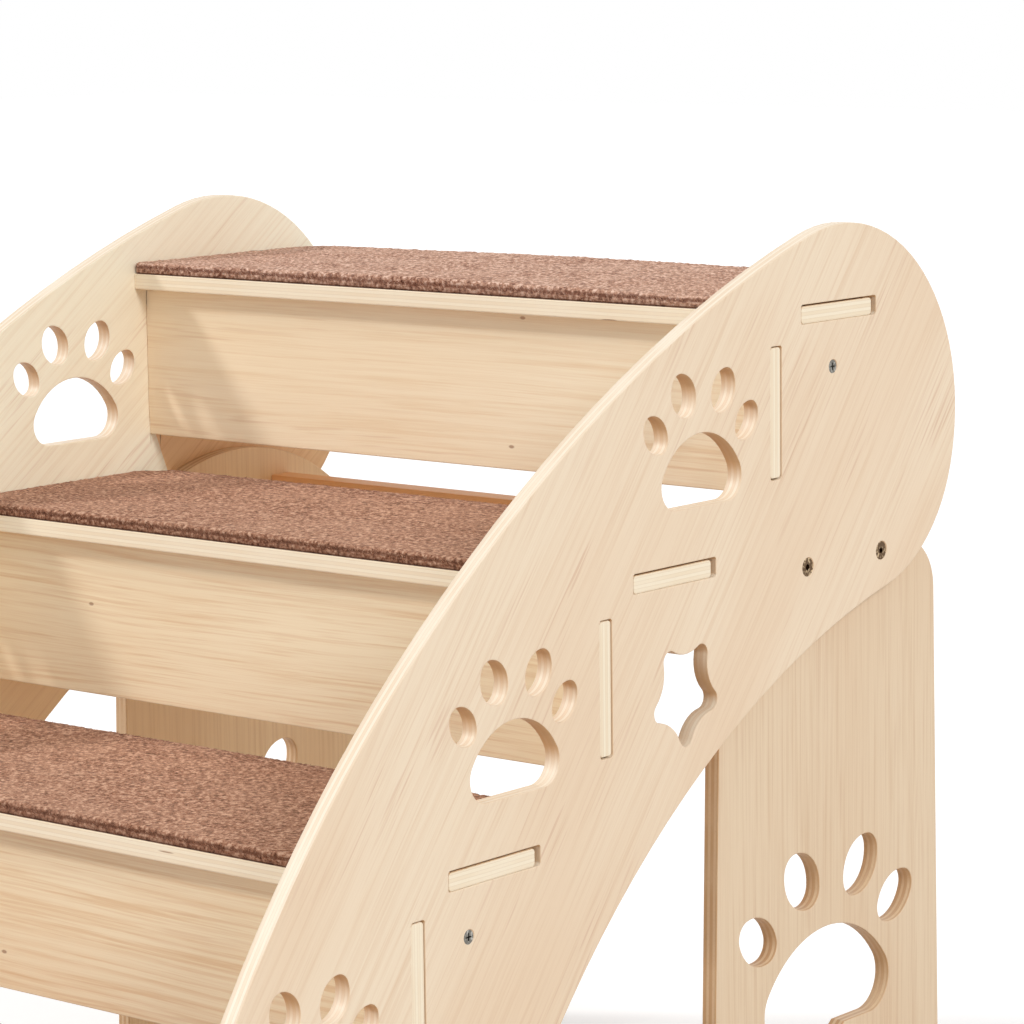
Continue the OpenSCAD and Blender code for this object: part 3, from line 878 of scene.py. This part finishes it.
def strand_places(carpet, rng):
    """Where strands stand, from the middle of the carpet's front: all over it, and along its edges."""
    half, depth = carpet.half, carpet.depth
    count = int(STRANDS_PER_MM2 * 2 * half * depth / MM**2)
    edge_count = int(EDGE_STRANDS_PER_MM * 2 * half / MM)
    side_count = int(EDGE_STRANDS_PER_MM * depth / MM)
    y = rng.uniform(0, depth, count)
    x = rng.uniform(-1, 1, count) * np.array([half_width(value, half, depth) for value in y])
    front_x = rng.uniform(-1, 1, edge_count) * (half - CARPET_CORNER_R * FRONT_CORNER_SHARE)
    front_y = rng.uniform(0, EDGE_STRAND_INSET, edge_count)
    side_y = rng.uniform(CARPET_CORNER_R, depth - CARPET_REAR_CUT, side_count)
    side_x = half - rng.uniform(0, EDGE_STRAND_INSET, side_count)
    side_x *= rng.choice([-1, 1], side_count)
    rear_x = rng.uniform(-1, 1, edge_count) * (half - CARPET_REAR_CUT)
    rear_y = depth - rng.uniform(0, EDGE_STRAND_INSET, edge_count)
    all_x = np.concatenate([x, front_x, side_x, rear_x])
    all_y = np.concatenate([y, front_y, side_y, rear_y])
    return all_x, all_y


def outward_lean(carpet, x, y):
    """How far strands lean out of the carpet, in x and in y, where they stand at its edges."""
    at_front = y < EDGE_BAND
    at_rear = y > carpet.depth - EDGE_BAND
    at_side = carpet.half - np.abs(x) < EDGE_BAND
    out_x = np.where(at_side, EDGE_LEAN_X * np.sign(x), 0.0)
    out_y = np.where(at_front, -EDGE_LEAN_Y, np.where(at_rear, EDGE_LEAN_Y, 0.0))
    return out_x, out_y


def carpet_strands(carpet):
    """Loose yarn ends that stand out of the pile, most of them along its edges."""
    rng = np.random.default_rng(STRAND_SEED + carpet.step)
    x, y = strand_places(carpet, rng)
    out_x, out_y = outward_lean(carpet, x, y)
    total = len(x)
    lean = rng.normal(0, STRAND_LEAN, (total, 2))
    length = STRAND_LEN * rng.uniform(*STRAND_LEN_SHARES, total)
    ways = np.stack([lean[:, 0] + out_x, lean[:, 1] + out_y, np.ones(total)], axis=1)
    ways /= np.linalg.norm(ways, axis=1)[:, None]
    at_edge = (np.abs(out_x) + np.abs(out_y)) > 0
    thickness = carpet.high.z - carpet.low.z - BACKING_T
    edge_depth = rng.uniform(*EDGE_ROOT_SHARES, total) * thickness
    root_depth = np.where(at_edge, edge_depth, ROOT_DEPTH)
    rise = carpet.swell * np.sin(math.pi * (x + carpet.half) / (2 * carpet.half)) ** 2
    root_z = carpet.high.z + rise - root_depth
    roots = np.stack([carpet.middle + x, carpet.low.y + y, root_z], axis=1)
    return strand_mesh(f"strands_{carpet.step}", roots, roots + ways * length[:, None])


def make_carpet(step, pile_look, strand_look, backing_look):
    """One carpet of three pieces, which lies on its tread in place of the CAD's plain slab."""
    carpet = Carpet(step)
    pile = smooth(carpet_pile(carpet))
    backing = carpet_backing(carpet)
    strands = carpet_strands(carpet)
    for piece, look in ((pile, pile_look), (backing, backing_look), (strands, strand_look)):
        piece.data.materials.append(look)
        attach(piece, "root")
    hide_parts(f"carpet_{step}")


def make_carpets():
    """A carpet on each step. The lower ones' browns are darker than the top one's: painted shade."""
    top_pile = carpet_material("top_pile", TOP_BROWNS, 1.0)
    top_strands = carpet_material("top_strands", TOP_BROWNS, 0.0)
    shaded_pile = carpet_material("shaded_pile", SHADED_BROWNS, 1.0)
    shaded_strands = carpet_material("shaded_strands", SHADED_BROWNS, 0.0)
    backing = carpet_material("carpet_backing", BACKING_BROWNS, 0.0)
    for step in STEPS:
        if step == STEPS[-1]:
            make_carpet(step, top_pile, top_strands, backing)
        else:
            make_carpet(step, shaded_pile, shaded_strands, backing)


def make_floor():
    """A pale floor that keeps the part's shadow and fades to white around it."""
    corners = ((-1, -1), (1, -1), (1, 1), (-1, 1))
    vertices = [(x * FLOOR_HALF, y * FLOOR_HALF, 0.0) for x, y in corners]
    floor = add_mesh("floor", vertices, [(0, 1, 2, 3)])
    shade = new_shader("floor")
    strength = shade.times(shade.is_seen(), FLOOR_LIFT)
    lift = shade.add("ShaderNodeEmission", {"Color": WHITE, "Strength": strength})
    white = (FLOOR_WHITE, FLOOR_WHITE, FLOOR_WHITE, 1)
    matte = shade.add("ShaderNodeBsdfDiffuse", {"Color": white})
    both = shade.add("ShaderNodeAddShader", {0: matte.outputs[0], 1: lift.outputs[0]})
    shade.add("ShaderNodeOutputMaterial", {"Surface": both.outputs[0]})
    floor.data.materials.append(shade.owner)


def make_sun(name, from_place, strength, spread):
    """A sun that shines from a place towards the origin."""
    data = bpy.data.lights.new(name, "SUN")
    data.energy = strength
    data.angle = math.radians(spread)
    sun = bpy.data.objects.new(name, data)
    sun.rotation_mode = "QUATERNION"
    sun.rotation_quaternion = Vector(from_place).to_track_quat("Z", "Y")
    bpy.context.scene.collection.objects.link(sun)


def make_light():
    """A dome that looks white and lights things with less than that, and two suns."""
    world = bpy.data.worlds.new("studio")
    bpy.context.scene.world = world
    shade = Shader(world)
    inputs = {"Value": shade.is_seen(), "To Min": DOME_STRENGTH}
    strength = shade.add("ShaderNodeMapRange", inputs).outputs[0]
    dome = shade.add("ShaderNodeBackground", {"Color": WHITE, "Strength": strength})
    shade.add("ShaderNodeOutputWorld", {"Surface": dome.outputs[0]})
    make_sun("key", KEY_FROM, KEY_STRENGTH, KEY_SPREAD)
    make_sun("fill", FILL_FROM, FILL_STRENGTH, FILL_SPREAD)


def make_camera():
    """The photograph's camera."""
    data = bpy.data.cameras.new("camera")
    data.lens = CAMERA_LENS
    data.sensor_width = SENSOR_WIDTH
    data.clip_end = CAMERA_REACH
    camera = bpy.data.objects.new("camera", data)
    turn = Euler((math.radians(90 + CAMERA_TILT), 0, math.radians(CAMERA_AZIMUTH))).to_matrix()
    roll = Euler((0, 0, math.radians(CAMERA_ROLL))).to_matrix()
    camera.matrix_world = (turn @ roll).to_4x4()
    camera.location = CAMERA_PLACE
    bpy.context.scene.collection.objects.link(camera)
    bpy.context.scene.camera = camera


def main():
    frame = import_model()
    nodes = frame["nodes"]
    bpy.context.scene.view_settings.view_transform = "Standard"
    make_camera()
    make_light()
    make_floor()
    dress_uprights(nodes)
    dress_steps(nodes)
    dress_bars(nodes)
    dress_fasteners(nodes)
    for name, node in nodes.items():
        if name.startswith(BOARD_NAMES):
            soften(node)
    make_carpets()


main()
